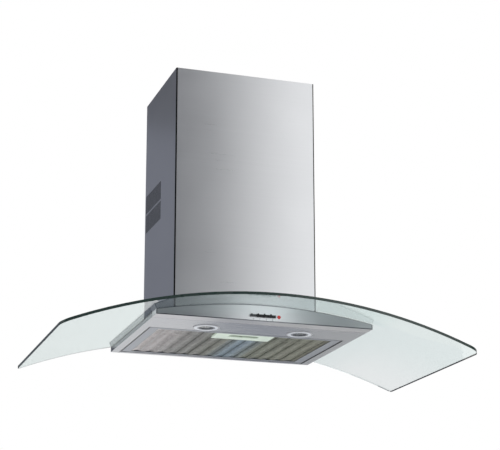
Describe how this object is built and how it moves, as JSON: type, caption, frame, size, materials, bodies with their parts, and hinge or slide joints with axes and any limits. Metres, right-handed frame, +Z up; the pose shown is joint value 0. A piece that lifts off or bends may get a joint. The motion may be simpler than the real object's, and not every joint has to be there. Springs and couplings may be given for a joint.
{
  "type": "wall chimney range hood",
  "caption": "Wall chimney range hood with a wide arched glass canopy, slim steel body, push keys, two lamps and a hinged grease filter.",
  "frame": {"origin": "centre of the four wall screw holes, on the wall plane", "axes": "+X to the right seen from the front, -Y towards the front, +Z up"},
  "size_m": [0.9, 0.49, 0.655],
  "materials": {
    "glass_canopy": "clear bent glass, green at the edges",
    "glass_gasket": "soft black strip",
    "canopy_tray": "brushed",
    "top_plate": "plain sheet",
    "front_fascia": "brushed along its length",
    "glass_screws": "plated",
    "glass_washers": "soft",
    "switch_block": "black",
    "light_key": "black",
    "low_speed_key": "black",
    "medium_speed_key": "black",
    "high_speed_key": "black",
    "pilot_lens": "red",
    "switch_screws": "plated",
    "lamp_transformer": "white case",
    "blower_box": "plain sheet",
    "scroll_left": "moulded",
    "scroll_right": "moulded",
    "impeller_disc": "galvanised, pressed",
    "impeller_blades": "galvanised strip",
    "impeller_rings": "galvanised, pressed",
    "motor_shaft": "ground",
    "motor": "grey enamel",
    "motor_bracket": "pressed",
    "motor_bushes": "soft",
    "motor_screws": "plated",
    "capacitor": "white can",
    "capacitor_clamp": "strip",
    "terminal_box": "moulded",
    "terminal_lid": "moulded",
    "cable_gland": "moulded",
    "outlet_collar": "moulded",
    "flap_axle": "ground",
    "flap_left": "moulded",
    "flap_right": "moulded",
    "collar_screws": "plated",
    "chimney_cover": "brushed across",
    "upper_chimney": "brushed across",
    "upper_bracket": "plain sheet",
    "upper_screws": "plated",
    "cover_brackets": "plain sheet",
    "cover_screws": "plated",
    "filter_frame": "bright channel",
    "filter_mesh_lower": "expanded mesh",
    "filter_mesh_upper": "expanded mesh",
    "handle_plate": "pale grey green",
    "filter_latch": "grey",
    "latch_spring": "wire",
    "handle_rivets": "dark",
    "lamp_bezel_left": "pale ring",
    "lamp_lens_left": "lens",
    "lamp_cup_left": "pressed cup",
    "lamp_bulb_left": "capsule",
    "lamp_bezel_right": "pale ring",
    "lamp_lens_right": "lens",
    "lamp_cup_right": "pressed cup",
    "lamp_bulb_right": "capsule"
  },
  "bodies": {
    "hood": {"glass_canopy": "glass_canopy", "glass_gasket": "glass_gasket", "canopy_tray": "canopy_tray", "top_plate": "top_plate", "front_fascia": "front_fascia", "glass_screws": "glass_screws", "glass_washers": "glass_washers", "switch_block": "switch_block", "pilot_lens": "pilot_lens", "switch_screws": "switch_screws", "lamp_transformer": "lamp_transformer", "blower_box": "blower_box", "scroll_left": "scroll_left", "scroll_right": "scroll_right", "motor": "motor", "motor_bracket": "motor_bracket", "motor_bushes": "motor_bushes", "motor_screws": "motor_screws", "capacitor": "capacitor", "capacitor_clamp": "capacitor_clamp", "terminal_box": "terminal_box", "terminal_lid": "terminal_lid", "cable_gland": "cable_gland", "outlet_collar": "outlet_collar", "flap_axle": "flap_axle", "collar_screws": "collar_screws", "chimney_cover": "chimney_cover", "cover_brackets": "cover_brackets", "cover_screws": "cover_screws", "lamp_bezel_left": "lamp_bezel_left", "lamp_lens_left": "lamp_lens_left", "lamp_cup_left": "lamp_cup_left", "lamp_bulb_left": "lamp_bulb_left", "lamp_bezel_right": "lamp_bezel_right", "lamp_lens_right": "lamp_lens_right", "lamp_cup_right": "lamp_cup_right", "lamp_bulb_right": "lamp_bulb_right"},
    "light_key": {"light_key": "light_key"},
    "low_speed_key": {"low_speed_key": "low_speed_key"},
    "medium_speed_key": {"medium_speed_key": "medium_speed_key"},
    "high_speed_key": {"high_speed_key": "high_speed_key"},
    "filter": {"filter_frame": "filter_frame", "filter_mesh_lower": "filter_mesh_lower", "filter_mesh_upper": "filter_mesh_upper", "handle_plate": "handle_plate", "handle_rivets": "handle_rivets", "latch_spring": "latch_spring"},
    "latch": {"filter_latch": "filter_latch"},
    "wheel": {"impeller_disc": "impeller_disc", "impeller_blades": "impeller_blades", "impeller_rings": "impeller_rings", "motor_shaft": "motor_shaft"},
    "left_flap": {"flap_left": "flap_left"},
    "right_flap": {"flap_right": "flap_right"},
    "upper_cover": {"upper_chimney": "upper_chimney", "upper_bracket": "upper_bracket", "upper_screws": "upper_screws"}
  },
  "joints": [
    {"name": "light_key_press", "type": "slide", "parent": "hood", "child": "light_key", "axis": [0, 1, 0], "range_m": [0, 0.0025], "stiffness_N_per_m": 300, "springref_m": -0.002},
    {"name": "low_speed_key_press", "type": "slide", "parent": "hood", "child": "low_speed_key", "axis": [0, 1, 0], "range_m": [0, 0.0025], "stiffness_N_per_m": 300, "springref_m": -0.002},
    {"name": "medium_speed_key_press", "type": "slide", "parent": "hood", "child": "medium_speed_key", "axis": [0, 1, 0], "range_m": [0, 0.0025], "stiffness_N_per_m": 300, "springref_m": -0.002},
    {"name": "high_speed_key_press", "type": "slide", "parent": "hood", "child": "high_speed_key", "axis": [0, 1, 0], "range_m": [0, 0.0025], "stiffness_N_per_m": 300, "springref_m": -0.002},
    {"name": "filter_hinge", "type": "hinge", "parent": "hood", "child": "filter", "pos_m": [0, -0.016, -0.1349], "axis": [1, 0, 0], "range_deg": [0, 70]},
    {"name": "latch_slide", "type": "slide", "parent": "filter", "child": "latch", "axis": [0, 1, 0], "range_m": [0, 0.007], "stiffness_N_per_m": 200, "springref_m": -0.004, "deforming": ["latch_spring"]},
    {"name": "impeller_spin", "type": "hinge", "parent": "hood", "child": "wheel", "pos_m": [0, -0.14, -0.006], "axis": [1, 0, 0], "continuous": true},
    {"name": "left_flap_lift", "type": "hinge", "parent": "hood", "child": "left_flap", "pos_m": [0, -0.084, 0.122], "axis": [0, 1, 0], "range_deg": [0, 75]},
    {"name": "right_flap_lift", "type": "hinge", "parent": "hood", "child": "right_flap", "pos_m": [0, -0.084, 0.122], "axis": [0, -1, 0], "range_deg": [0, 75]},
    {"name": "upper_cover_slide", "type": "slide", "parent": "hood", "child": "upper_cover", "axis": [0, 0, 1], "range_m": [0, 0.4]}
  ]
}
